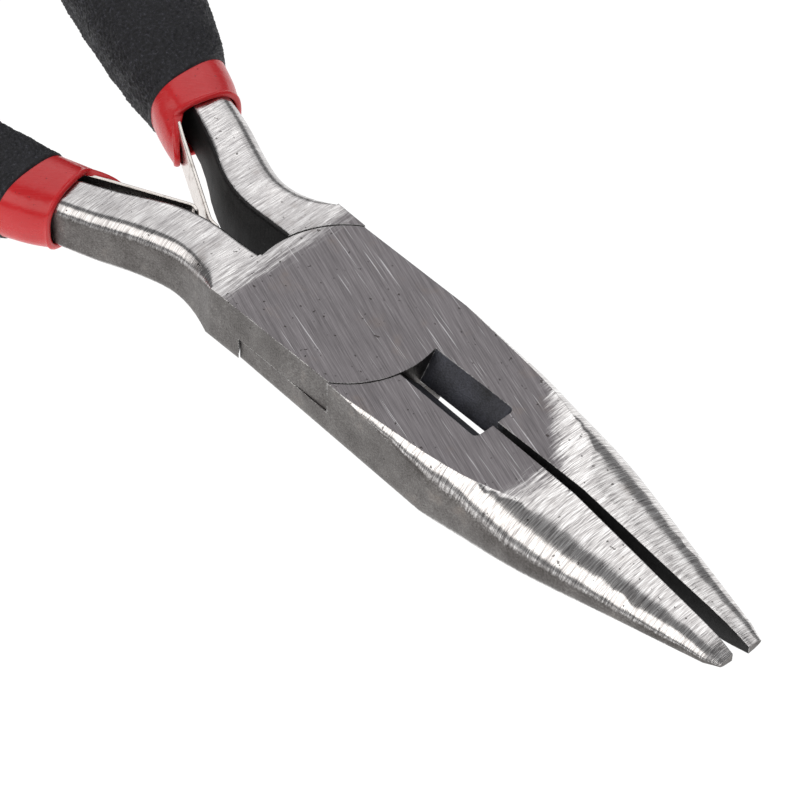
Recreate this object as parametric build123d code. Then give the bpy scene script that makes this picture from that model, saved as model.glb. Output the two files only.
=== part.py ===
"""Mini long nose pliers with side cutters, sprung open by two flat leaf springs.

Millimetres.  The origin is on the pivot axis at the back face of the lap joint.  +X points to the
jaw tips and +Z out of the ground front face.  Every piece is drawn with its jaw on +Y and its
handle on -Y, both halves closed; half B's pieces are then mirrored, and each half is turned open.
"""
from build123d import *
from math import atan2, copysign, cos, hypot, pi, radians, sin
import os

# Lap joint
HEAD_THICKNESS = 7.4
LAP_Z = HEAD_THICKNESS / 2
LAP_GAP = 0.06                # air between the two lapped layers
JOINT_RADIUS = 9.0
JOINT_GAP = 0.14              # air between a round layer and the shoulder around it
HEAD_HALF_WIDTH = 7.15
HEAD_REAR_X = -9.0
BACK_EDGE_RADIUS = 1.8        # the long back edges of the head are tumbled round
HALF_OPENING = 0.9            # degrees that each half stands open at rest
CROTCH_HALF_WIDTH = 1.45

# Jaws are forged square at the joint and round at the nose, then ground flat to the head
# thickness.  Half superellipses: (x, half width, half height, power)
JAW_SECTIONS = [
    (1.0, 7.70, 4.20, 10.0),
    (5.0, 7.60, 4.20, 9.0),
    (9.0, 7.45, 4.22, 7.2),
    (12.5, 7.35, 4.40, 5.0),
    (16.0, 7.35, 4.60, 3.6),
    (20.0, 7.00, 4.70, 2.9),
    (25.0, 6.66, 4.10, 2.4),
    (30.0, 5.80, 3.36, 2.2),
    (36.0, 4.32, 2.40, 2.06),
    (41.0, 3.06, 1.66, 2.0),
    (44.8, 2.10, 0.95, 2.0),
]
JAW_START_X = 4.0
JAW_ARC_STEPS = 16
TIP_X = {"a": 46.5, "b": 46.1}
TIP_HALF_WIDTH = 1.45
TIP_HALF_HEIGHT = 0.42

# Side cutter window
WINDOW_END_X = 18.0
WINDOW_HALF_WIDTH = 1.95
WINDOW_CORNER_RADIUS = 0.45
CUTTER_Z = 5.0                # height of the cutting edges
RELIEF_HALF_WIDTH = 3.2       # the window falls away behind the edges to this

# Handle bars: (x, distance of the middle from the X axis, half width, half thickness, and the
# radius of the outer corners)
BAR_SECTIONS = [
    (-8.6, 4.33, 2.86, 3.68, 0.30),
    (-10.4, 4.08, 2.64, 3.58, 1.10),
    (-12.4, 3.90, 2.46, 3.42, 1.55),
    (-14.6, 3.86, 2.38, 3.30, 1.70),
    (-16.8, 4.22, 2.36, 3.20, 1.70),
    (-19.4, 5.18, 2.24, 3.10, 1.65),
    (-22.2, 6.42, 2.12, 2.98, 1.60),
    (-25.4, 7.60, 2.02, 2.84, 1.50),
    (-31.0, 9.30, 1.95, 2.70, 1.40),
    (-40.0, 12.30, 1.90, 2.50, 1.35),
    (-50.0, 15.50, 1.85, 2.40, 1.30),
    (-60.0, 18.10, 1.80, 2.30, 1.30),
    (-71.0, 20.00, 1.60, 2.00, 1.20),
]
BAR_INNER_CORNER = 0.45       # the corners that face the other handle are nearly sharp
HEAD_ENVELOPE_REAR_X = -13.0  # the square section of the head has faded out by here

# Rivet, blind in half A's layer and countersunk in half B's
RIVET_RADIUS = 2.6
RIVET_CLEARANCE = 0.03
RIVET_HEAD_RADIUS = 3.9
RIVET_HEAD_HEIGHT = 1.3
RIVET_TOP_Z = 6.3

# Sleeves and grips: (x, distance from the X axis, half width, half thickness)
SLEEVE_SECTIONS = [
    (-26.6, 7.19, 3.55, 3.25),
    (-29.0, 8.05, 3.90, 3.46),
    (-33.0, 9.50, 4.05, 3.60),
    (-40.0, 12.00, 4.00, 3.60),
    (-48.0, 14.75, 4.00, 3.60),
    (-57.0, 17.35, 3.90, 3.50),
    (-66.0, 19.25, 3.70, 3.40),
    (-74.5, 20.30, 3.00, 2.90),
]
GRIP_SECTIONS = [
    (-29.8, 8.46, 4.50, 3.95),
    (-34.0, 9.90, 5.10, 4.25),
    (-40.0, 12.00, 5.70, 4.55),
    (-48.0, 14.75, 6.10, 4.80),
    (-57.0, 17.35, 5.90, 4.80),
    (-66.0, 19.25, 5.40, 4.60),
    (-73.0, 20.20, 4.80, 4.20),
    (-77.0, 20.50, 3.70, 3.30),
    (-78.5, 20.60, 2.20, 2.00),
]
HANDLE_DROP = 0.6             # the handles lie this much lower than the middle of the head
HANDLE_DROP_X = (-20.0, -32.0)  # the drop begins and is complete here
SECTION_CORNER = 0.86         # corner radius as a share of the smaller half size
SLEEVE_MOUTH_ANGLE = 13.0     # degrees between the X axis and the direction each mouth faces
GRIP_MOUTH_ANGLE = 2.0
RIM_LENGTH = 0.7
RIM_RISE = 0.15
TONGUE_REACH = 3.0
TONGUE_WIDTH = 4.8
TONGUE_THICKNESS = 0.9
TONGUE_PROUD = 0.1            # the tongue stands this far out of the sleeve's inner side
TONGUE_NOSE_SHARE = 0.42      # radius of the tongue's nose as a share of its width

# Room inside a sleeve for its spring, measured from where the spring leaves it
POCKET_TAIL_GAP = 0.5
SPRING_EDGE_GAP = 0.25
POCKET_INNER_GAP = 0.45
POCKET_KNEE_GAP = 0.95
POCKET_OUTER_GAP = 3.0
POCKET_FLARE_LENGTH = 3.0     # ahead of the mouth the pocket opens for the blade's full swing
POCKET_FLARE_RISE = 4.2

# Leaf springs: plan points of the strip from its tail to its tip, in the closed frame
SPRING_THICKNESS = 0.45
SPRING_WIDTH = 4.0
SPRING_MOUTH_X = -25.4        # the strip leaves the sleeve here, and flexes from here on
SPRING_TAIL = [(-39.0, -9.67), (-32.0, -7.33)]
SPRING_MOUTH_Y = {"a": -3.95, "b": -3.60}
SPRING_BLADE = {
    "a": [(-18.3, -0.60), (-17.6, -0.85)],
    "b": [(-16.1, 1.22), (-14.9, 1.32)],
}
SPRING_SPLIT = 0.04           # the two parts of a strip stop this far short of each other
SPRING_RIVET_X = -36.0
SPRING_RIVET_RADIUS = 1.0
SPRING_RIVET_HEAD_RADIUS = 1.7
SPRING_RIVET_HEAD_HEIGHT = 0.5
SPRING_RIVET_DEPTH = 3.6      # how far the shank goes into the bar


def tangent(points, i):
    """Direction of a line of plan points at point i, from its neighbours."""
    (x0, y0), (x1, y1) = points[max(i - 1, 0)], points[min(i + 1, len(points) - 1)]
    length = hypot(x1 - x0, y1 - y0)
    return (x1 - x0) / length, (y1 - y0) / length


def handle_middle_z(x):
    """Height of a handle's middle at a place along it."""
    start, end = HANDLE_DROP_X
    share = min(max((x - start) / (end - start), 0.0), 1.0)
    return LAP_Z - HANDLE_DROP * share


def section_plane(points, i, mouth_angle=None):
    """Upright plane across a handle at plan point i, its local X pointing away from the axis."""
    tx, ty = tangent(points, i)
    if i == 0 and mouth_angle is not None:
        tx, ty = -cos(radians(mouth_angle)), -sin(radians(mouth_angle))
    x, y = points[i]
    return Plane(origin=(x, y, handle_middle_z(x)), x_dir=(-ty, tx, 0), z_dir=(tx, ty, 0))


def handle_loft(sections, corner_of, mouth_angle=None):
    """Solid through rounded rectangles (x, distance, half width, half thickness, ...)."""
    points = [(s[0], -s[1]) for s in sections]
    outlines = []
    for i, s in enumerate(sections):
        outline = RectangleRounded(2 * s[2], 2 * s[3], corner_of(s))
        outlines.append(section_plane(points, i, mouth_angle) * outline)
    return loft(outlines)


def jaw_cone(tip_x):
    """The jaw as forged: half superellipses on the +Y side of the X axis, to a blunt nose."""
    tip = (tip_x, TIP_HALF_WIDTH, TIP_HALF_HEIGHT, JAW_SECTIONS[-1][3])
    body = loft([jaw_outline(*s) for s in JAW_SECTIONS])
    nose = loft([jaw_outline(*JAW_SECTIONS[-1]), jaw_outline(*tip)], ruled=True)
    behind = Pos(JAW_START_X - 10, 0, LAP_Z) * Box(20, 100, 100)
    return body + nose - behind


def jaw_outline(x, half_width, half_height, power):
    """Half a superellipse in the plane across the jaw, closed by its straight inner edge."""
    plane = Plane(origin=(x, 0, LAP_Z), x_dir=(0, 1, 0), z_dir=(1, 0, 0))
    points = []
    for i in range(JAW_ARC_STEPS + 1):
        turn = pi * (i / JAW_ARC_STEPS - 0.5)
        across = round(cos(turn), 9) ** (2 / power)
        rise = copysign(abs(sin(turn)) ** (2 / power), sin(turn))
        points.append((half_width * across, half_height * rise))
    arc = Spline(*points)
    chord = Line((0, half_height), (0, -half_height))
    return plane * make_face([arc, chord])


def head_envelope():
    """The ground box that bounds the head and jaws, its long back edges rounded."""
    length = TIP_X["a"] + 5 - HEAD_ENVELOPE_REAR_X
    middle_x = HEAD_ENVELOPE_REAR_X + length / 2
    block = Pos(middle_x, 0, LAP_Z) * Box(length, 2 * HEAD_HALF_WIDTH, HEAD_THICKNESS)
    long_back_edges = block.edges().filter_by(Axis.X).group_by(Axis.Z)[0]
    return fillet(long_back_edges, BACK_EDGE_RADIUS)


def head_block():
    """The square shouldered part of a half behind the joint, with its inner crotch wall."""
    length = -HEAD_REAR_X - 2.0
    middle_y = -(CROTCH_HALF_WIDTH + 20 / 2)
    return Pos(HEAD_REAR_X + length / 2, middle_y, LAP_Z) * Box(length, 20, HEAD_THICKNESS)


def joint_layer():
    """The round layer of the lap joint."""
    radius = JOINT_RADIUS - JOINT_GAP / 2
    return Pos(0, 0, LAP_Z) * Cylinder(radius, HEAD_THICKNESS)


def window_cut():
    """Half of the cutter window: a bevel down to the cutting edge and a relief behind it."""
    start_x = 5.0
    above = HEAD_THICKNESS + 2
    slope = WINDOW_HALF_WIDTH / (HEAD_THICKNESS - CUTTER_Z)
    bevel = [(-5, CUTTER_Z), (0, CUTTER_Z), (slope * (above - CUTTER_Z), above), (-5, above)]
    fall = RELIEF_HALF_WIDTH / CUTTER_Z
    relief = [(-5, CUTTER_Z), (0, CUTTER_Z), (fall * (CUTTER_Z + 2), -2), (-5, -2)]
    length = WINDOW_END_X - start_x
    across = Plane(origin=(start_x, 0, 0), x_dir=(0, 1, 0), z_dir=(1, 0, 0))
    cuts = [extrude(across * make_face(Polyline(*p, close=True)), length) for p in (bevel, relief)]
    far_corner = cuts[0].edges().group_by(Axis.X)[-1].sort_by(Axis.Y)[-1]
    return fillet(far_corner, WINDOW_CORNER_RADIUS) + cuts[1]


def lap_cut(low, high):
    """The round seat for the other half's layer, from height low to height high."""
    height = high - low
    return Pos(0, 0, (low + high) / 2) * Cylinder(JOINT_RADIUS + JOINT_GAP / 2, height)


def bar_outline(half_width, half_thickness, corner):
    """A bar's section: round outer corners, nearly sharp inner ones, local X pointing outwards."""
    outline = Rectangle(2 * half_width, 2 * half_thickness)
    inner = outline.vertices().group_by(Axis.X)[0]
    outline = fillet(inner, min(BAR_INNER_CORNER, corner))
    return fillet(outline.vertices().group_by(Axis.X)[-1], corner)


def bar():
    """The handle bar, from the head to its end inside the grip."""
    points = [(s[0], -s[1]) for s in BAR_SECTIONS]
    return loft([section_plane(points, i) * bar_outline(*s[2:]) for i, s in enumerate(BAR_SECTIONS)])


def half(name):
    """One steel forging.  Half A keeps the front layer of the joint and half B the back one."""
    rear = Pos(HEAD_ENVELOPE_REAR_X - 50, 0, LAP_Z) * Box(100, 100, 100)
    whole_bar = bar()
    front = joint_layer() + (jaw_cone(TIP_X[name]) - window_cut()) + head_block() + whole_bar
    body = (front & head_envelope()) + (whole_bar & rear)
    if name == "a":
        body = body - lap_cut(-1, LAP_Z + LAP_GAP / 2)
        return body - Pos(0, 0, RIVET_TOP_Z / 2) * Cylinder(RIVET_RADIUS, RIVET_TOP_Z)
    body = body - lap_cut(LAP_Z - LAP_GAP / 2, HEAD_THICKNESS + 1)
    return body - rivet_solid(RIVET_CLEARANCE)


def rivet_solid(clearance=0.0):
    """The pivot rivet with its countersunk head, or the hole that it runs in."""
    shank = Pos(0, 0, RIVET_TOP_Z / 2) * Cylinder(RIVET_RADIUS + clearance, RIVET_TOP_Z)
    taper = Pos(0, 0, RIVET_HEAD_HEIGHT / 2) * Cone(
        RIVET_HEAD_RADIUS + clearance, RIVET_RADIUS + clearance, RIVET_HEAD_HEIGHT
    )
    return shank + taper


def strip_outline(points):
    """Outline of a strip of the spring's thickness along plan points, mitred at its bends."""
    left, right = [], []
    for i, (x, y) in enumerate(points):
        tx, ty = tangent(points, i)
        before, after = tangent(points, max(i - 1, 0)), tangent(points, min(i + 1, len(points) - 1))
        half_bend = (atan2(after[1], after[0]) - atan2(before[1], before[0])) / 4
        reach = SPRING_THICKNESS / 2 / cos(half_bend)
        left.append((x - ty * reach, y + tx * reach))
        right.append((x + ty * reach, y - tx * reach))
    return left + right[::-1]


def strip(points):
    """A length of leaf spring strip standing across the middle of the pliers' thickness."""
    base = Plane(origin=(0, 0, LAP_Z - SPRING_WIDTH / 2))
    return extrude(base * make_face(Polyline(*strip_outline(points), close=True)), SPRING_WIDTH)


def spring_mouth(name):
    """Plan point where a spring leaves its sleeve, the axis that its blade bends about."""
    return SPRING_MOUTH_X, SPRING_MOUTH_Y[name]


def towards(start, end, distance):
    """The plan point at a distance from start on the line to end."""
    length = hypot(end[0] - start[0], end[1] - start[1])
    share = distance / length
    return start[0] + (end[0] - start[0]) * share, start[1] + (end[1] - start[1]) * share


def spring_root(name):
    """The part of a leaf spring that lies under the sleeve on the bar."""
    mouth = spring_mouth(name)
    return strip(SPRING_TAIL + [towards(mouth, SPRING_TAIL[-1], SPRING_SPLIT / 2)])


def spring_blade(name):
    """The free part of a leaf spring, from the sleeve's mouth to its bent foot."""
    mouth = spring_mouth(name)
    return strip([towards(mouth, SPRING_BLADE[name][0], SPRING_SPLIT / 2)] + SPRING_BLADE[name])


def spring_rivet():
    """Rivet that holds a spring's tail on the bar: its head on the strip, its end flush outside."""
    (x0, y0), (x1, y1) = SPRING_TAIL
    slope = (y1 - y0) / (x1 - x0)
    seat = Plane(
        origin=(SPRING_RIVET_X, y0 + slope * (SPRING_RIVET_X - x0), LAP_Z),
        x_dir=(0, 0, 1),
        z_dir=(slope, -1, 0),
    )
    shank = Cylinder(
        SPRING_RIVET_RADIUS, SPRING_RIVET_DEPTH, align=(Align.CENTER, Align.CENTER, Align.MIN)
    )
    head_z = -SPRING_THICKNESS / 2 - SPRING_RIVET_HEAD_HEIGHT / 2
    head = Pos(0, 0, head_z) * Cylinder(SPRING_RIVET_HEAD_RADIUS, SPRING_RIVET_HEAD_HEIGHT)
    neck = Pos(0, 0, head_z / 2) * Cylinder(SPRING_RIVET_RADIUS, -head_z)
    return seat * (shank + neck + head)


def spring_pocket(name):
    """The space inside a sleeve between the bar and the spring, open at the mouth."""
    mouth_x, mouth_y = spring_mouth(name)
    tail, knee = SPRING_TAIL
    rear_x, front_x = tail[0] - POCKET_TAIL_GAP, mouth_x + POCKET_FLARE_LENGTH
    inner_side = [
        (front_x, mouth_y + POCKET_FLARE_RISE),
        (mouth_x, mouth_y + POCKET_INNER_GAP),
        (knee[0], knee[1] + POCKET_KNEE_GAP),
        (rear_x, tail[1] + POCKET_KNEE_GAP),
    ]
    outer_side = [
        (rear_x, tail[1] - POCKET_OUTER_GAP / 2),
        (mouth_x, mouth_y - POCKET_OUTER_GAP),
        (front_x, mouth_y - POCKET_OUTER_GAP / 2),
    ]
    height = SPRING_WIDTH + 2 * SPRING_EDGE_GAP
    base = Plane(origin=(0, 0, LAP_Z - height / 2))
    return extrude(base * make_face(Polyline(*(inner_side + outer_side), close=True)), height)


def soft_corner(section):
    """Corner radius of a sleeve's or grip's section."""
    return SECTION_CORNER * min(section[2], section[3])


def sleeve_mouth():
    """The plane of a sleeve's mouth, local X away from the pliers' axis and local Z to the rear."""
    points = [(s[0], -s[1]) for s in SLEEVE_SECTIONS]
    return section_plane(points, 0, SLEEVE_MOUTH_ANGLE)


def sleeve_outer():
    """The outer form of a sleeve, with the rolled rim at its mouth."""
    body = handle_loft(SLEEVE_SECTIONS, soft_corner, SLEEVE_MOUTH_ANGLE)
    _, _, width, thickness = SLEEVE_SECTIONS[0]
    corner = SECTION_CORNER * (thickness + RIM_RISE)
    rim = RectangleRounded(2 * (width + RIM_RISE), 2 * (thickness + RIM_RISE), corner)
    return body + extrude(sleeve_mouth() * rim, RIM_LENGTH)


def tongue():
    """The rounded tongue of a sleeve that reaches forward on its inner side, over the spring."""
    length = TONGUE_REACH + RIM_LENGTH
    slab = Box(TONGUE_THICKNESS, TONGUE_WIDTH, length)
    nose = slab.edges().filter_by(Axis.X).group_by(Axis.Z)[0]
    slab = fillet(nose, TONGUE_WIDTH * TONGUE_NOSE_SHARE)
    inward = SLEEVE_SECTIONS[0][2] + TONGUE_PROUD - TONGUE_THICKNESS / 2
    return sleeve_mouth() * (Pos(-inward, 0, RIM_LENGTH - length / 2) * slab)


def sleeve(name):
    """The soft red sleeve pushed over the bar and the spring's tail."""
    return sleeve_outer() + tongue() - bar() - spring_pocket(name)


def grip():
    """The thick textured grip over the sleeve, closed at its rear end."""
    outer = handle_loft(GRIP_SECTIONS, soft_corner, GRIP_MOUTH_ANGLE)
    return outer - handle_loft(SLEEVE_SECTIONS, soft_corner, SLEEVE_MOUTH_ANGLE)


def place(solid, name):
    """Turn a piece drawn in the closed frame into its half's place at rest."""
    if name == "b":
        return Rot(0, 0, -HALF_OPENING) * mirror(solid, about=Plane.XZ)
    return Rot(0, 0, HALF_OPENING) * solid


def build():
    """Every piece of the pliers by its node name, where it stands at rest."""
    pieces = {"pivot_rivet": Rot(0, 0, HALF_OPENING) * rivet_solid()}
    for name in ("a", "b"):
        rivet = spring_rivet()
        pieces[f"half_{name}"] = place(half(name) - rivet - spring_root(name), name)
        pieces[f"sleeve_{name}"] = place(sleeve(name), name)
        pieces[f"grip_{name}"] = place(grip(), name)
        pieces[f"spring_root_{name}"] = place(spring_root(name) - rivet, name)
        pieces[f"spring_blade_{name}"] = place(spring_blade(name), name)
        pieces[f"spring_rivet_{name}"] = place(rivet, name)
    return pieces


os.makedirs("parts", exist_ok=True)
for node, piece in build().items():
    export_step(piece, f"parts/{node}.step")
    print(node, round(piece.volume, 1), "mm3", len(piece.solids()), "solid")
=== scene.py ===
"""Mini long nose pliers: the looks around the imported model.  Metres, in the model's own frame."""
import math
import bmesh
import bpy
import numpy as np
from mathutils import Matrix, Vector


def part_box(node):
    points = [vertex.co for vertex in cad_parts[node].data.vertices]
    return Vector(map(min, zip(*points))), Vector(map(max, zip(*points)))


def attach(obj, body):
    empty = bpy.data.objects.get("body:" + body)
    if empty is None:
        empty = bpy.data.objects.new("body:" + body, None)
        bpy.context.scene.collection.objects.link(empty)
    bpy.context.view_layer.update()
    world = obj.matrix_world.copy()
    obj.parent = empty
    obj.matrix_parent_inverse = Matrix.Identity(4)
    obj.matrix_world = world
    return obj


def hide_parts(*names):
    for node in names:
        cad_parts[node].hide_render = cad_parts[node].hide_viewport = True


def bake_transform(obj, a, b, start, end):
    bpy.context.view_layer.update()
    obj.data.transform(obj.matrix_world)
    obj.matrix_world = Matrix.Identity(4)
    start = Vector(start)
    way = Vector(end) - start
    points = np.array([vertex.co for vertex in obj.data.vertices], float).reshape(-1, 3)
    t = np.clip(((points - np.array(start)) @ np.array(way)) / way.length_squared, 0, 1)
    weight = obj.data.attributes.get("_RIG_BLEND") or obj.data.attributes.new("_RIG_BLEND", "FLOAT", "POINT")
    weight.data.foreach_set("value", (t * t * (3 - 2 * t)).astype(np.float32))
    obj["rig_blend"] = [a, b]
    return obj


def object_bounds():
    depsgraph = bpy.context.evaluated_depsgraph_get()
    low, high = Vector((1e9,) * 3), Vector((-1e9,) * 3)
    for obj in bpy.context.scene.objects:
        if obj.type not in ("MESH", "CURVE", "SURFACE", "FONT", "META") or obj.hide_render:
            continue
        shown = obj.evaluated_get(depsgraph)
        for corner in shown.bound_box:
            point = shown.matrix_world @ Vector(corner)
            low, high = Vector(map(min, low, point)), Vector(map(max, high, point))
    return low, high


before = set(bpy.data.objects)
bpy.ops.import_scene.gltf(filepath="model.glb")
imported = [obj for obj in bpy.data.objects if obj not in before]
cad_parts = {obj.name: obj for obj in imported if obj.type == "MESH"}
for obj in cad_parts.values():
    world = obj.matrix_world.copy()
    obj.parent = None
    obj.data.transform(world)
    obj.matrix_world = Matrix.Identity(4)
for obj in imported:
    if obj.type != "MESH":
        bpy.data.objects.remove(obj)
cad_low, cad_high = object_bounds()


# ---------------------------------------------------------------------------------------------
# Camera.  A long lens looks down on the ground front face from the lower jaw's side.
# ---------------------------------------------------------------------------------------------
VIEW_AZIMUTH = math.radians(-44.497)
VIEW_ELEVATION = math.radians(48.981)
VIEW_ROLL = math.radians(1.743)
VIEW_DISTANCE = 0.36993
LENS = 202.5
SENSOR_WIDTH = 36.0
FRONT_FACE_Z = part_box("half_a")[1][2]
VIEW_TARGET = Vector((0.010865, -0.004028, FRONT_FACE_Z))

back = Vector((
    math.cos(VIEW_ELEVATION) * math.cos(VIEW_AZIMUTH),
    math.cos(VIEW_ELEVATION) * math.sin(VIEW_AZIMUTH),
    math.sin(VIEW_ELEVATION),
))
level = Vector((0, 0, 1)).cross(back).normalized()
upright = back.cross(level)
right = math.cos(VIEW_ROLL) * level + math.sin(VIEW_ROLL) * upright
up = math.cos(VIEW_ROLL) * upright - math.sin(VIEW_ROLL) * level
camera_data = bpy.data.cameras.new("camera")
camera_data.sensor_width = SENSOR_WIDTH
camera_data.lens = LENS
camera_data.clip_start = 0.01
camera_data.clip_end = 20.0
camera = bpy.data.objects.new("camera", camera_data)
camera.matrix_world = Matrix((right, up, back)).transposed().to_4x4()
camera.location = VIEW_TARGET + back * VIEW_DISTANCE
bpy.context.scene.collection.objects.link(camera)
bpy.context.scene.camera = camera
bpy.context.scene.view_settings.view_transform = "Standard"


# ---------------------------------------------------------------------------------------------
# Floor and lights.  A white card under the pliers, lit as in a small light tent: softboxes overhead,
# low on the lower jaw's side, behind and in front, with dim gaps that leave dark bands on the rounds.
# ---------------------------------------------------------------------------------------------
FLOOR_Z = cad_low[2] - 0.0002
FLOOR_HALF = 3.0
FLOOR_COLOUR = (0.10, 0.10, 0.10, 1)
FLOOR_GLOW = 1.0
TENT_TO_CAMERA = 1.0
TENT_TO_STEEL = 0.22
LAMP_DISTANCE = 0.7


class Socket:
    """An output of a shader graph; sums written on it add Math nodes to that graph."""

    def __init__(self, graph, output):
        self.graph = graph
        self.output = output

    def _math(self, operation, first, second):
        return self.graph.node("Math", {"operation": operation}, {0: first, 1: second})

    def __add__(self, other):
        return self._math("ADD", self, other)

    def __sub__(self, other):
        return self._math("SUBTRACT", self, other)

    def __rsub__(self, other):
        return self._math("SUBTRACT", other, self)

    def __mul__(self, other):
        return self._math("MULTIPLY", self, other)

    def __gt__(self, other):
        return self._math("GREATER_THAN", self, other)

    def __lt__(self, other):
        return self._math("LESS_THAN", self, other)

    def __abs__(self):
        return self._math("ABSOLUTE", self, 0.0)

    __radd__ = __add__
    __rmul__ = __mul__

    def rise(self, low, high):
        """0 below low, 1 above high, and a smooth step between them."""
        return self.graph.node(
            "MapRange",
            {"interpolation_type": "SMOOTHSTEP", "clamp": True},
            {"Value": self, "From Min": low, "From Max": high},
        )

    def part(self, name):
        """One of the outputs of this output's node, by its name."""
        return Socket(self.graph, self.output.node.outputs[name])


class Graph:
    """A shader node tree that is filled by calls of one method, node."""

    def __init__(self, owner):
        owner.use_nodes = True
        self.tree = owner.node_tree
        self.tree.nodes.clear()

    def node(self, kind, settings=None, inputs=None, output=0):
        """Add a shader node, set its settings, then its sockets' values or links."""
        made = self.tree.nodes.new("ShaderNode" + kind)
        for name, value in (settings or {}).items():
            if name == "stops":
                ramp = made.color_ramp
                ramp.elements[0].position, ramp.elements[0].color = value[0]
                ramp.elements[1].position, ramp.elements[1].color = value[-1]
                for position, colour in value[1:-1]:
                    ramp.elements.new(position).color = colour
            else:
                setattr(made, name, value)
        for name, value in (inputs or {}).items():
            if isinstance(value, Socket):
                self.tree.links.new(value.output, made.inputs[name])
            else:
                made.inputs[name].default_value = value
        return Socket(self, made.outputs[output]) if made.outputs else None

    def mix(self, share, first, second):
        """The first colour where share is 0 and the second where it is 1."""
        return self.node(
            "Mix",
            {"data_type": "RGBA"},
            {0: share, 6: first, 7: second},
            output=2,
        )


def softbox(name, direction, spread, reach, brightness, tint=(1, 1, 1)):
    """A soft area light at arm's length, facing the pliers, its reach in degrees along the X axis."""
    middle = Vector((0.0, 0.0, FRONT_FACE_Z / 2))
    towards = Vector(direction).normalized()
    lamp = bpy.data.lights.new(name, "AREA")
    lamp.shape = "RECTANGLE"
    lamp.size = 2 * LAMP_DISTANCE * math.tan(math.radians(spread / 2))
    lamp.size_y = 2 * LAMP_DISTANCE * math.tan(math.radians(reach / 2))
    lamp.energy = brightness * math.pi * lamp.size * lamp.size_y
    lamp.color = tint
    holder = bpy.data.objects.new(name, lamp)
    holder.location = middle + towards * LAMP_DISTANCE
    along = (Vector((1, 0, 0)) - towards * towards.x).normalized()
    axes = Matrix((along.cross(towards), along, towards)).transposed()
    holder.rotation_euler = axes.to_euler()
    bpy.context.scene.collection.objects.link(holder)
    return holder


softbox("softbox overhead", (-0.36, 0.306, 1.0), 42, 64, 1.0)
softbox("softbox low side", (-0.30, -0.79, 0.61), 38, 66, 1.6, (1.0, 0.98, 0.95))
softbox("softbox behind", (-0.34, 0.777, 0.63), 22, 60, 0.8)
softbox("softbox front", (0.75, -0.45, 0.55), 40, 30, 0.9)

world = bpy.data.worlds.new("light tent")
tent = Graph(world)
seen = tent.node("LightPath").part("Is Camera Ray")
tone = TENT_TO_STEEL + seen * (TENT_TO_CAMERA - TENT_TO_STEEL)
glow = tent.node("Background", {}, {"Color": (0.97, 0.98, 1, 1), "Strength": tone})
tent.node("OutputWorld", {}, {"Surface": glow})
bpy.context.scene.world = world


def mesh_of_grid(name, points, closed_around=True, closed_along=False, caps=()):
    """A mesh of quads over a grid of points (along, around, xyz), with pole caps where asked."""
    along, around, _ = points.shape
    index = np.arange(along * around).reshape(along, around)
    if closed_around:
        index = np.concatenate([index, index[:, :1]], axis=1)
    if closed_along:
        index = np.concatenate([index, index[:1]], axis=0)
    quads = np.stack([index[:-1, :-1], index[:-1, 1:], index[1:, 1:], index[1:, :-1]], axis=-1)
    faces = quads.reshape(-1, 4)
    vertices = points.reshape(-1, 3)
    triangles = []
    for end in caps:
        ring = index[end]
        pole = len(vertices)
        vertices = np.concatenate([vertices, points[end].mean(axis=0)[None]])
        fan = np.stack([ring[1:], ring[:-1], np.full(len(ring) - 1, pole)], axis=-1)
        triangles.append(fan if end == 0 else fan[:, [1, 0, 2]])
    mesh = bpy.data.meshes.new(name)
    mesh.from_pydata(vertices, [], faces.tolist() + [list(f) for fan in triangles for f in fan])
    mesh.shade_smooth()
    piece = bpy.data.objects.new(name, mesh)
    bpy.context.scene.collection.objects.link(piece)
    return piece


floor_u, floor_v = np.meshgrid(np.linspace(-1, 1, 3), np.linspace(-1, 1, 3))
floor_points = np.stack([
    floor_u * FLOOR_HALF, floor_v * FLOOR_HALF, np.full_like(floor_u, FLOOR_Z)
], axis=-1)
floor = mesh_of_grid("floor", floor_points, closed_around=False)
card = Graph(bpy.data.materials.new("white card"))
floor.data.materials.append(bpy.data.materials["white card"])
card_shader = card.node("BsdfPrincipled", {}, {
    "Base Color": FLOOR_COLOUR,
    "Roughness": 0.9,
    "Emission Color": (1, 1, 1, 1),
    "Emission Strength": FLOOR_GLOW,
})
card.node("OutputMaterial", {}, {"Surface": card_shader})


# ---------------------------------------------------------------------------------------------
# The two forged halves.  Drop-forged tool steel: the front and back are ground flat with slanting
# grinding lines, the rounds are brushed across and bright, that brightness partly a painted sheen, the
# edges are left dark, the inner faces between the halves carry painted shade, darkest in the joint's
# window, and thin edge lines are lightened as wear and partly as a painted highlight.
# ---------------------------------------------------------------------------------------------
SHARP_EDGE = math.radians(28)
GRINDING_SLANT = math.radians(-17)
WORN_EDGE = 0.00013
JAW_START_X = 7.5
JAW_INNER_REACH = 3.4
JAW_ROUND_X = (24.0, 26.4)
REAR_ROUND_X = -6.6
BAR_START_X = -8.0
CROTCH_X = -8.9
BAR_DULL_X = -6.0
WINDOW_END_X = 18.6
BAR_MIDDLE_X = (-31.0, -25.4, -22.2, -19.4, -16.8, -14.6, -12.4, -10.4)
BAR_MIDDLE_Y = (9.79, 8.0, 6.77, 5.48, 4.48, 4.09, 4.09, 4.24)
BAR_HALF_WIDTH = 2.2
BAR_DRAFT = 0.6
DRAFT_HEIGHT = 5.5
DRAFT_X = (-24.5, -21.0, -13.0, -10.0)


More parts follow.
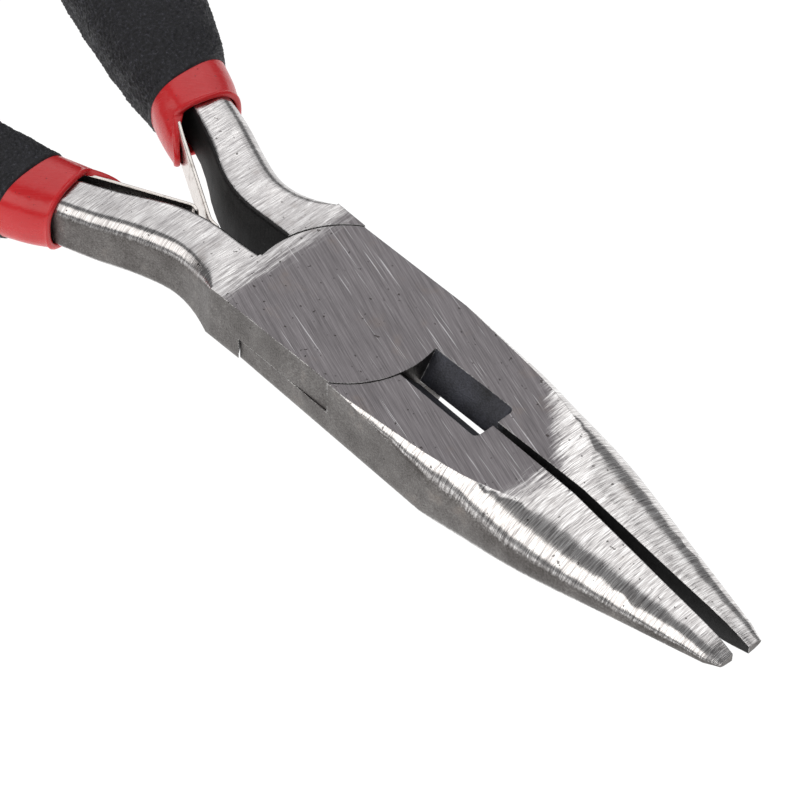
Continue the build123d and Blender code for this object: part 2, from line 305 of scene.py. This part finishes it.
def finished_copy(node):
    """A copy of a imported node, its doubles merged, smooth except across sharp edges."""
    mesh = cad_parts[node].data.copy()
    mesh.materials.clear()
    shell = bmesh.new()
    shell.from_mesh(mesh)
    bmesh.ops.remove_doubles(shell, verts=shell.verts, dist=1e-6)
    shell.to_mesh(mesh)
    shell.free()
    for name in [a.name for a in mesh.attributes if a.name == "custom_normal"]:
        mesh.attributes.remove(mesh.attributes[name])
    mesh.shade_smooth()
    mesh.set_sharp_from_angle(angle=SHARP_EDGE)
    piece = bpy.data.objects.new(node + "_finished", mesh)
    bpy.context.scene.collection.objects.link(piece)
    evened = piece.modifiers.new("even shading", "WEIGHTED_NORMAL")
    evened.keep_sharp = True
    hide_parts(node)
    return piece


def draft(mesh, side):
    """Lean a bar's inner face: a place at height z and depth d into the bar's inner half moves
    towards the other bar by BAR_DRAFT * d * (1 - z / DRAFT_HEIGHT), fading out at both ends."""
    places = np.empty(len(mesh.vertices) * 3)
    mesh.vertices.foreach_get("co", places)
    x, y, z = places.reshape(-1, 3).T * 1000
    middle = np.interp(x, BAR_MIDDLE_X, BAR_MIDDLE_Y)
    depth = np.clip((side * y + middle) / BAR_HALF_WIDTH, 0, 1)
    share = np.interp(x, DRAFT_X, (0, 1, 1, 0))
    moved = BAR_DRAFT * depth * share * np.clip(1 - z / DRAFT_HEIGHT, 0, 1)
    moved[x > DRAFT_X[-1]] = 0
    places[1::3] += side * moved / 1000
    mesh.vertices.foreach_set("co", places)
    mesh.update()


def in_millimetres(graph):
    """The piece's own coordinates in millimetres."""
    own = graph.node("TexCoord").part("Object")
    return graph.node("VectorMath", {"operation": "SCALE"}, {0: own, "Scale": 1000.0})


def streaks(graph, place, sizes, turn=0.0, **sockets):
    """Noise whose marks have these sizes in millimetres along axes turned about Z."""
    laid = graph.node("Mapping", {"vector_type": "TEXTURE"}, {
        "Vector": place, "Rotation": (0, 0, turn), "Scale": sizes,
    })
    values = {"Vector": laid, "Scale": 1.0}
    values.update(sockets)
    return graph.node("TexNoise", {}, values)


def tool_steel(half, side):
    """Forged steel of one half; side is 1 for the half with its jaw towards +Y, else -1."""
    steel = Graph(bpy.data.materials.new("tool steel " + half))
    place = in_millimetres(steel)
    x, y = (steel.node("SeparateXYZ", {}, {0: place}).part(axis) for axis in "XY")
    facing = steel.node("TexCoord").part("Normal")
    ny, nz = (steel.node("SeparateXYZ", {}, {0: facing}).part(axis) for axis in "YZ")
    steep = abs(nz)

    blotch = streaks(steel, place, (2.8, 2.8, 2.8), Detail=4.0, Roughness=0.6)
    grit = streaks(steel, place, (0.16, 0.16, 0.16), Detail=3.0, Roughness=0.7)
    brush = streaks(steel, place, (0.17, 3.0, 3.0), 0.05, Detail=3.0, Roughness=0.75)
    fine_brush = streaks(steel, place, (0.08, 1.6, 1.6), -0.06, Detail=2.0, Roughness=0.6)
    grinding = streaks(steel, place, (7.0, 0.17, 2.0), GRINDING_SLANT, Detail=4.0, Roughness=0.7)
    fine_grinding = streaks(steel, place, (3.0, 0.07, 2.0), GRINDING_SLANT - 0.06, Detail=3.0)
    scratch = streaks(steel, place, (9.0, 0.11, 3.0), GRINDING_SLANT + 0.03, Detail=1.0)

    wander = (brush - 0.5) * 9.0
    lean = 0.62 + 0.62 * side
    forward_round = (x + wander * 0.6 + abs(y) * lean - 0.7 * side).rise(*JAW_ROUND_X)
    rear_round = (REAR_ROUND_X - x + wander * 0.45).rise(0.0, 2.2)
    ground = steep.rise(0.988, 0.998) * (1 - forward_round) * (1 - rear_round)
    edge_side = 1 - (steep + (grit - 0.5) * 0.26 + (brush - 0.5) * 0.2).rise(0.28, 0.52)
    inner_jaw = (x > JAW_START_X) * (abs(y) < JAW_INNER_REACH) * (ny * -side).rise(0.45, 0.6)
    inner_bar = (x < BAR_START_X) * (ny * side + (grit - 0.5) * 0.35).rise(0.35, 0.5)
    crotch = (abs(x - CROTCH_X) < 0.6) * (abs(ny) < 0.6) * (steep < 0.5)
    inner = (inner_jaw + inner_bar + crotch).rise(0.0, 1.0)

    lines = grinding * 0.5 + fine_grinding * 0.5
    ground_tone = steel.node("ValToRGB", {"stops": [
        (0.34, (0.115, 0.106, 0.110, 1)),
        (0.50, (0.175, 0.162, 0.168, 1)),
        (0.66, (0.25, 0.232, 0.24, 1)),
    ]}, {0: lines})
    ground_tone = steel.mix(scratch.rise(0.69, 0.75) * 0.6, ground_tone, (0.70, 0.69, 0.70, 1))
    ground_tone = steel.mix((1 - scratch).rise(0.70, 0.76) * 0.5, ground_tone, (0.12, 0.11, 0.11, 1))
    brushed = brush * 0.5 + fine_brush * 0.5
    # Painted sheen: the rounds' brush lines are real, but their near-white colour stands in for light spread
    # along the brush lines.
    brushed_and_sheen_tone = steel.node("ValToRGB", {"stops": [
        (0.38, (0.30, 0.285, 0.285, 1)),
        (0.50, (0.66, 0.635, 0.625, 1)),
        (0.62, (1.0, 0.985, 0.975, 1)),
    ]}, {0: brushed})
    on_bar = (x < BAR_DULL_X) * (0.42 + (blotch - 0.5) * 1.2)
    brushed_and_sheen_tone = steel.mix(on_bar, brushed_and_sheen_tone, (0.27, 0.26, 0.265, 1))
    side_tone = steel.node("ValToRGB", {"stops": [
        (0.32, (0.060, 0.054, 0.050, 1)),
        (0.50, (0.145, 0.135, 0.130, 1)),
        (0.68, (0.27, 0.26, 0.25, 1)),
    ]}, {0: grit * 0.6 + blotch * 0.4})
    # Painted shade: faces turned to the other half, the crotch and the joint's window get a near-black
    # colour and less metal, standing in for the shade between the halves.
    inner_painted_shade = steel.node("ValToRGB", {"stops": [
        (0.36, (0.010, 0.010, 0.012, 1)),
        (0.66, (0.060, 0.062, 0.080, 1)),
    ]}, {0: grit * 0.45 + blotch * 0.55})
    # Darkest painted shade inside the joint's window.
    window_deepest_shade = (x > 0.0) * (x < WINDOW_END_X)
    inner_painted_shade = steel.mix(window_deepest_shade, (0.006, 0.0055, 0.006, 1), inner_painted_shade)
    tone = steel.mix(ground, brushed_and_sheen_tone, ground_tone)
    tone = steel.mix(edge_side, tone, side_tone)
    stain = blotch.rise(0.56, 0.80) * 0.30
    tone = steel.mix(stain, tone, (0.26, 0.20, 0.16, 1))
    pits = streaks(steel, place, (0.42, 0.42, 0.42), Detail=1.0).rise(0.735, 0.77)
    tone = steel.mix(pits * 0.75, tone, (0.05, 0.042, 0.038, 1))
    # Lay the painted shade over the inner faces.
    tone = steel.mix(inner, tone, inner_painted_shade)

    rounded = steel.node("Bevel", {"samples": 4}, {"Radius": WORN_EDGE})
    true_normal = steel.node("NewGeometry").part("True Normal")
    bend = 1 - steel.node("VectorMath", {"operation": "DOT_PRODUCT"}, {
        0: rounded, 1: true_normal,
    }).part("Value")
    # Thin edge lines lightened towards white: partly wear on the edges, partly a painted highlight where the
    # rounded edges catch the light.
    edge_wear_and_highlight = bend.rise(0.03, 0.14) * (grit * 0.5 + blotch * 0.5).rise(0.46, 0.54)
    tone = steel.mix(edge_wear_and_highlight * 0.8, tone, (0.85, 0.84, 0.83, 1))

    roughness = 0.19 + (fine_brush - 0.5) * 0.22
    roughness = roughness + ground * 0.17 + edge_side * 0.24 + inner * 0.2

    relief = (1 - ground) * (1 - edge_side) * (brush * 0.004 + fine_brush * 0.012)
    relief = relief + ground * lines * 0.012
    relief = relief + (edge_side + inner).rise(0.0, 1.0) * grit * 0.03 - pits * 0.03
    bump = steel.node("Bump", {}, {
        "Strength": 1.0,
        "Distance": 0.001,
        "Height": relief,
        "Normal": rounded,
    })
    shader = steel.node("BsdfPrincipled", {}, {
        "Base Color": tone,
        "Metallic": 1 - inner * 0.6,
        "Roughness": roughness,
        "Normal": bump,
    })
    steel.node("OutputMaterial", {}, {"Surface": shader})
    return bpy.data.materials["tool steel " + half]


for half, side in (("half_a", 1), ("half_b", -1)):
    forged = finished_copy(half)
    draft(forged.data, side)
    forged.data.materials.append(tool_steel(half, side))
    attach(forged, half)


# ---------------------------------------------------------------------------------------------
# Rivets.  The pivot rivet is a plain steel pin with a countersunk head ground flush at the back;
# a small rivet holds each spring's tail on its bar, hidden under the sleeve.
# ---------------------------------------------------------------------------------------------
def rivet_steel():
    """Turned steel, a little darker than the halves, with rings left by the lathe."""
    pin = Graph(bpy.data.materials.new("rivet steel"))
    place = in_millimetres(pin)
    rings = pin.node("TexWave", {"wave_type": "RINGS", "rings_direction": "Z"}, {
        "Vector": place, "Scale": 1.6, "Distortion": 1.5, "Detail": 2.0,
    }, output=1)
    grit = streaks(pin, place, (0.2, 0.2, 0.2), Detail=3.0)
    tone = pin.mix(rings * 0.35 + grit * 0.4, (0.34, 0.33, 0.33, 1), (0.66, 0.65, 0.64, 1))
    bump = pin.node("Bump", {}, {"Distance": 0.001, "Height": rings * 0.006 + grit * 0.008})
    shader = pin.node("BsdfPrincipled", {}, {
        "Base Color": tone, "Metallic": 1.0, "Roughness": 0.26 + grit * 0.2, "Normal": bump,
    })
    pin.node("OutputMaterial", {}, {"Surface": shader})
    return bpy.data.materials["rivet steel"]


turned_steel = rivet_steel()
for pin, body in (("pivot_rivet", "half_a"), ("spring_rivet_a", "half_a"), ("spring_rivet_b", "half_b")):
    turned = finished_copy(pin)
    turned.data.materials.append(turned_steel)
    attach(turned, body)


# ---------------------------------------------------------------------------------------------
# Leaf springs.  Two strips of nickel-plated spring steel, riveted under the sleeves, push the
# handles apart: one foot slides on the other strip, the other on the bar.
# ---------------------------------------------------------------------------------------------
MILLIMETRE = 0.001
JAW_OPENING = math.radians(0.9)
STRIP_HALF_THICKNESS = 0.225
STRIP_HALF_WIDTH = 2.0
MIDDLE_Z = 3.7
STRIP_MOUTH = {"a": (-25.4, -3.95), "b": (-25.4, -3.60)}
STRIP_TAIL = [(-39.0, -9.67), (-32.0, -7.33)]
STRIP_BLADE = {"a": [(-18.3, -0.60), (-17.6, -0.85)], "b": [(-16.1, 1.22), (-14.9, 1.32)]}
STRIP_EDGE_POWER = 5.0
FOOT_EASE = 0.18
BEND_REACH = 1.2


def placed(points, half):
    """Drawn millimetres to metres at rest: half b is mirrored, and each half turns a little."""
    x, y, z = np.moveaxis(points, -1, 0)
    turn = JAW_OPENING
    if half == "b":
        y, turn = -y, -turn
    turned = [x * np.cos(turn) - y * np.sin(turn), x * np.sin(turn) + y * np.cos(turn), z]
    return np.stack(turned, axis=-1) * MILLIMETRE


def flowing(stations, values, at):
    """Cubic curve through values at stations, its slope at each the mean of its neighbours'."""
    slopes = np.gradient(values, stations, axis=0)
    span = np.clip(np.searchsorted(stations, at) - 1, 0, len(stations) - 2)
    length = (stations[span + 1] - stations[span])[:, None]
    t = (at - stations[span])[:, None] / length
    return (
        (2 * t**3 - 3 * t**2 + 1) * values[span]
        + (t**3 - 2 * t**2 + t) * length * slopes[span]
        + (3 * t**2 - 2 * t**3) * values[span + 1]
        + (t**3 - t**2) * length * slopes[span + 1]
    )


def oblong(turn, power):
    """Unit superellipse: |u|^power + |v|^power = 1 at each angle."""
    u = np.sign(np.cos(turn)) * np.abs(np.cos(turn)) ** (2 / power)
    v = np.sign(np.sin(turn)) * np.abs(np.sin(turn)) ** (2 / power)
    return u, v


def outward(points, half):
    """Grids of half b are mirrored, so their rows are read backwards to face outwards."""
    return points[:, ::-1] if half == "b" else points


def leaf_spring(half):
    """A thin strip with round edges carried along a bent line, its corners eased by rounding."""
    knots = np.array(STRIP_TAIL + [STRIP_MOUTH[half]] + STRIP_BLADE[half])
    steps = np.hypot(*np.diff(knots, axis=0).T)
    stations = np.concatenate([[0.0], np.cumsum(steps)])
    reach = np.linspace(0.0, stations[-1], 161)
    line = np.stack([np.interp(reach, stations, knots[:, 0]), np.interp(reach, stations, knots[:, 1])], -1)
    kernel = np.hanning(9) / np.hanning(9).sum()
    padded = np.pad(line, ((4, 4), (0, 0)), mode="reflect", reflect_type="odd")
    line = np.stack([np.convolve(padded[:, k], kernel, "valid") for k in (0, 1)], -1)
    along = np.gradient(line, axis=0)
    along /= np.linalg.norm(along, axis=1, keepdims=True)
    across = np.stack([-along[:, 1], along[:, 0]], -1)
    turn = np.linspace(0, 2 * np.pi, 48, endpoint=False)
    u, v = oblong(turn, STRIP_EDGE_POWER)
    ease = np.sqrt(np.clip(1 - np.clip((reach - reach[-1] + FOOT_EASE) / 0.2, 0, 1) ** 2, 0.0, 1))
    xy = line[:, None] + across[:, None] * (u * STRIP_HALF_THICKNESS)[None, :, None] * ease[:, None, None]
    z = MIDDLE_Z + v[None, :] * (STRIP_HALF_WIDTH - FOOT_EASE * (1 - ease[:, None]))
    points = np.concatenate([xy, z[..., None]], axis=-1)
    return placed(points, half)


def nickel():
    """Plated spring strip, bright, with lines drawn along its length and small grey stains."""
    plate = Graph(bpy.data.materials.new("nickel strip"))
    place = in_millimetres(plate)
    drawn = streaks(plate, place, (4.0, 0.4, 0.14), 0.4, Detail=3.0, Roughness=0.7)
    stain = streaks(plate, place, (0.8, 0.8, 0.8), Detail=4.0)
    tone = plate.mix(drawn, (0.58, 0.53, 0.49, 1), (0.90, 0.86, 0.82, 1))
    tone = plate.mix(stain.rise(0.56, 0.70) * 0.55, tone, (0.36, 0.31, 0.27, 1))
    bump = plate.node("Bump", {}, {"Distance": 0.001, "Height": drawn * 0.010 + stain * 0.006})
    shader = plate.node("BsdfPrincipled", {}, {
        "Base Color": tone, "Metallic": 1.0, "Roughness": 0.18 + stain * 0.2, "Normal": bump,
    })
    plate.node("OutputMaterial", {}, {"Surface": shader})
    return bpy.data.materials["nickel strip"]


plated = nickel()
for half in ("a", "b"):
    strip = mesh_of_grid("leaf_spring_" + half, outward(leaf_spring(half), half), caps=(0, -1))
    strip.data.materials.append(plated)
    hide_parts("spring_root_" + half, "spring_blade_" + half)
    mouth = np.array([*STRIP_MOUTH[half], MIDDLE_Z])
    ends = np.array([mouth - (BEND_REACH, 0, 0), mouth + (BEND_REACH, 0, 0)])
    start, end = placed(ends, half)
    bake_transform(strip, "half_" + half, "spring_blade_" + half, start=tuple(start), end=tuple(end))


# ---------------------------------------------------------------------------------------------
# Sleeves.  Thin dipped red plastic over each bar, with a rolled lip at the mouth and a rounded
# tongue on the inner side that lies over the leaf spring.
# ---------------------------------------------------------------------------------------------
SLEEVE_SECTIONS = np.array([
    (-26.6, -7.19, 3.55, 3.25),
    (-29.0, -8.05, 3.90, 3.46),
    (-33.0, -9.50, 4.05, 3.60),
    (-40.0, -12.0, 4.00, 3.60),
    (-48.0, -14.75, 4.00, 3.60),
])
SLEEVE_MOUTH_TURN = math.radians(13)
SLEEVE_LENGTH = 20.0
SLEEVE_WALL = 0.42
HANDLE_POWER = 2.6
LIP_RISE = 0.13
LIP_LENGTH = 0.7
TONGUE_REACH = 2.9
TONGUE_FLARE = math.tan(math.radians(13))
TONGUE_HALF_WIDTH = 2.5
TONGUE_FADE = 3.5
HANDLE_DROP = 0.6
HANDLE_DROP_X = (-20.0, -32.0)


def handle_rings(sections, mouth_turn, reach, around, power, grow=0.0):
    """Oblong rings across a handle's centre line (x, y, half width, half thickness).

    Each ring stands square to the line, the first one turned to the mouth's angle.
    """
    steps = np.hypot(*np.diff(sections[:, :2], axis=0).T)
    stations = np.concatenate([[0.0], np.cumsum(steps)])
    course = flowing(stations, sections, reach)
    slope = flowing(stations, sections, reach + 0.01) - flowing(stations, sections, reach - 0.01)
    heading = np.arctan2(slope[:, 1], slope[:, 0])
    mouth_heading = math.pi + mouth_turn
    share = np.clip(1 - reach / stations[1], 0, 1)
    heading = np.where(heading < 0, heading + 2 * np.pi, heading)
    heading = heading + (mouth_heading - heading) * share
    away = np.stack([-np.sin(heading), np.cos(heading)], axis=-1)
    u, v = oblong(around, power)
    grow = np.broadcast_to(grow, (len(reach), len(around)))
    across = u[None, :] * (course[:, 2:3] + grow)
    xy = course[:, None, :2] + away[:, None] * across[..., None]
    drop = np.interp(-course[:, 0], [-x for x in HANDLE_DROP_X], [0, HANDLE_DROP])
    height = v[None, :] * (course[:, 3:4] + grow)
    z = MIDDLE_Z - drop[:, None] + height
    ahead = -np.stack([np.cos(heading), np.sin(heading), np.zeros_like(heading)], axis=-1)
    rings = np.concatenate([xy, z[..., None]], axis=-1)
    return rings, ahead, height


def red_sleeve(half):
    """A thin tube: its outer wall, the lip rolled over at the mouth, and its inner wall, one loop."""
    around = np.linspace(0, 2 * np.pi, 160, endpoint=False)
    outer = np.linspace(SLEEVE_LENGTH, LIP_LENGTH, 60)
    swell = np.linspace(0, np.pi / 2, 9)[1:]
    radius = (SLEEVE_WALL + LIP_RISE) / 2
    lip_reach = LIP_LENGTH - (LIP_LENGTH - radius) * np.sin(swell)
    lip_grow = LIP_RISE * (1 - np.cos(swell))
    roll = np.linspace(0, np.pi, 13)[1:]
    inner = np.linspace(0.6, SLEEVE_LENGTH, 40)
    reach = np.concatenate([outer, lip_reach, radius - radius * np.sin(roll), inner])
    grow = np.concatenate([
        np.zeros(len(outer)),
        lip_grow,
        LIP_RISE - radius * (1 - np.cos(roll)),
        np.full(len(inner), -SLEEVE_WALL),
    ])
    rings, ahead, height = handle_rings(
        SLEEVE_SECTIONS, SLEEVE_MOUTH_TURN, reach, around, HANDLE_POWER, grow[:, None]
    )
    inner_side = np.clip(-np.cos(around), 0, 1) ** 0.5
    tongue = np.clip(1 - (height / TONGUE_HALF_WIDTH) ** 2, 0, 1) ** 0.75 * inner_side[None, :]
    near_mouth = np.clip(1 - reach / TONGUE_FADE, 0, 1)
    near_mouth = near_mouth**2 * (3 - 2 * near_mouth)
    push = TONGUE_REACH * tongue * near_mouth[:, None]
    flare = ahead + TONGUE_FLARE * np.stack([-ahead[:, 1], ahead[:, 0], ahead[:, 2]], axis=-1)
    return placed(rings + flare[:, None] * push[..., None], half)


def red_plastic():
    """Glossy red dipped plastic with soft dents, dust specks and short scuffs."""
    dip = Graph(bpy.data.materials.new("red plastic"))
    place = in_millimetres(dip)
    cloud = streaks(dip, place, (4.0, 4.0, 4.0), Detail=3.0)
    scuff = streaks(dip, place, (2.5, 0.16, 0.5), 0.7, Detail=4.0, Roughness=0.8)
    speck = streaks(dip, place, (0.25, 0.25, 0.25), Detail=1.0).rise(0.74, 0.78)
    tone = dip.mix(cloud, (0.56, 0.010, 0.014, 1), (0.72, 0.022, 0.028, 1))
    tone = dip.mix(scuff.rise(0.62, 0.80) * 0.25, tone, (0.80, 0.16, 0.16, 1))
    tone = dip.mix(speck * 0.6, tone, (0.10, 0.005, 0.006, 1))
    bump = dip.node("Bump", {}, {
        "Distance": 0.001, "Height": cloud * 0.20 + scuff * 0.006 - speck * 0.02,
    })
    shader = dip.node("BsdfPrincipled", {}, {
        "Base Color": tone,
        "Roughness": 0.24 + scuff.rise(0.5, 0.8) * 0.25,
        "Normal": bump,
        "Subsurface Weight": 0.08,
        "Subsurface Radius": (0.001, 0.0003, 0.0002),
        "Subsurface Scale": 0.6,
    })
    dip.node("OutputMaterial", {}, {"Surface": shader})
    return bpy.data.materials["red plastic"]


dipped = red_plastic()
for half in ("a", "b"):
    points = outward(red_sleeve(half), half)
    sleeve = mesh_of_grid("red_sleeve_" + half, points, closed_along=True)
    sleeve.data.materials.append(dipped)
    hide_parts("sleeve_" + half)
    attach(sleeve, "half_" + half)


# ---------------------------------------------------------------------------------------------
# Grips.  Thick black foamed plastic moulded over each sleeve, its skin a coarse leathery grain,
# closed and rounded at the rear end.
# ---------------------------------------------------------------------------------------------
GRIP_SECTIONS = np.array([
    (-30.2, -8.50, 4.25, 3.85),
    (-34.0, -9.80, 4.95, 4.22),
    (-40.0, -12.0, 5.70, 4.55),
    (-48.0, -14.75, 6.10, 4.80),
    (-57.0, -17.35, 5.90, 4.80),
    (-66.0, -19.25, 5.40, 4.60),
    (-73.0, -20.20, 4.80, 4.20),
    (-77.0, -20.50, 3.70, 3.30),
    (-78.5, -20.60, 2.20, 2.00),
])
GRIP_MOUTH_TURN = math.radians(2)
GRAIN_HEIGHT = 0.055
GRAIN_PITCH = 0.48
DENT_HEIGHT = 0.03
DENT_PITCH = 3.5
GRIP_LIP = 0.6
GRIP_GIRTH = 31.0
SKIN_INSET = 3.4 * GRAIN_HEIGHT
TAIL_LENGTH = 1.8
TAIL_DEPTH = 1.95


def grain(shape, spacing, pitch, seed):
    """Random relief of about one size: white noise kept only near one wavelength, mean 0, spread 1."""
    noise = np.random.default_rng(seed).standard_normal(shape)
    row_waves = np.fft.fftfreq(shape[0], spacing[0])[:, None]
    column_waves = np.fft.rfftfreq(shape[1], spacing[1])[None, :]
    wave = np.hypot(row_waves, column_waves) * pitch
    kept = np.fft.irfft2(np.fft.rfft2(noise) * np.exp(-((wave - 1.0) / 0.45) ** 2), shape)
    return kept / kept.std()


def black_grip(half):
    """Oblong rings along the handle, closed by a dome behind and a rounded lip in front."""
    around = np.linspace(0, 2 * np.pi, 216, endpoint=False)
    length = np.hypot(*np.diff(GRIP_SECTIONS[:, :2], axis=0).T).sum()
    lip = np.linspace(0, np.pi / 2, 10)
    body_reach = np.linspace(GRIP_LIP, length, 380)[1:]
    reach = np.concatenate([[0.5, 0.15], GRIP_LIP * (1 - np.cos(lip)), body_reach])
    grow = np.concatenate([[-1.6, -1.2], -GRIP_LIP * (1 - np.sin(lip)), np.zeros(len(body_reach))])
    tail = np.clip((reach - (length - TAIL_LENGTH)) / TAIL_LENGTH, 0, 1)
    grow = grow - TAIL_DEPTH * (1 - np.sqrt(np.clip(1 - tail**2, 0, 1)))
    shape = (len(reach), len(around))
    spacing = (length / len(reach), GRIP_GIRTH / len(around))
    relief = grain(shape, spacing, GRAIN_PITCH, 7)
    dents = grain(shape, spacing, DENT_PITCH, 8)
    skin = np.clip((reach - 0.2) / 0.6, 0, 1) * (1 - tail)
    relief = np.clip(relief, -1.5, 1.5) * GRAIN_HEIGHT + dents * DENT_HEIGHT
    total = grow[:, None] + (relief - SKIN_INSET) * skin[:, None]
    rings, _, _ = handle_rings(GRIP_SECTIONS, GRIP_MOUTH_TURN, reach, around, HANDLE_POWER, total)
    return placed(rings, half)


def black_foam():
    """Charcoal foamed plastic: matt pits, worn shiny grains."""
    foam = Graph(bpy.data.materials.new("black foam"))
    place = in_millimetres(foam)
    fine = streaks(foam, place, (0.30, 0.30, 0.30), Detail=4.0, Roughness=0.8)
    cloud = streaks(foam, place, (8.0, 8.0, 8.0), Detail=3.0)
    cells = foam.node("TexVoronoi", {"feature": "F1"}, {"Vector": place, "Scale": 2.3, "Randomness": 1.0})
    tone = foam.mix(fine.rise(0.35, 0.75), (0.001, 0.001, 0.002, 1), (0.022, 0.022, 0.031, 1))
    tone = foam.mix(cloud.rise(0.45, 0.75) * 0.25, tone, (0.03, 0.03, 0.038, 1))
    tone = foam.mix(fine.rise(0.58, 0.66) * 0.6, tone, (0.11, 0.11, 0.14, 1))
    relief = fine * 0.16 - cells * 0.12
    bump = foam.node("Bump", {}, {"Distance": 0.001, "Height": relief})
    shader = foam.node("BsdfPrincipled", {}, {
        "Base Color": tone,
        "Roughness": 0.58 - fine.rise(0.5, 0.75) * 0.3,
        "Normal": bump,
    })
    foam.node("OutputMaterial", {}, {"Surface": shader})
    return bpy.data.materials["black foam"]


foamed = black_foam()
for half in ("a", "b"):
    grip = mesh_of_grid("black_grip_" + half, outward(black_grip(half), half), caps=(0, -1))
    grip.data.materials.append(foamed)
    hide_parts("grip_" + half)
    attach(grip, "half_" + half)
